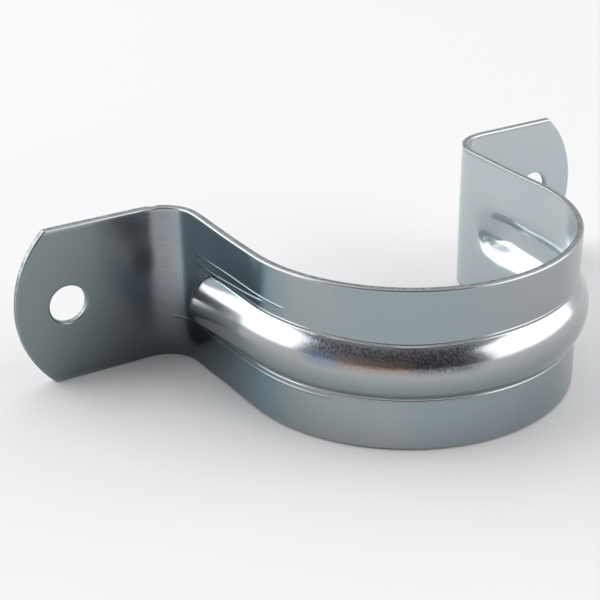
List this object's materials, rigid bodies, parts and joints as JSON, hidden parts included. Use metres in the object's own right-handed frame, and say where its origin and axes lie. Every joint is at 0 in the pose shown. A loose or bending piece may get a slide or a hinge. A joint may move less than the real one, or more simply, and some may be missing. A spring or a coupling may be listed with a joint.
{
  "type": "conduit strap",
  "caption": "Pressed-steel strap with two screw feet, bent round a conduit to hold it against a wall, with a stiffening bead pressed along the arch and legs.",
  "frame": {"origin": "middle of the two screw holes, on the plane of the wall", "axes": "+X along the feet, +Y into the wall so that the arch stands out towards -Y, +Z along the conduit; the strap stands on its lower side edge"},
  "size_m": [0.128, 0.0624, 0.03],
  "materials": {
    "zinc_plated_steel": "bright zinc plate, semi-gloss"
  },
  "bodies": {
    "root": {"strap": "zinc_plated_steel"}
  },
  "joints": []
}
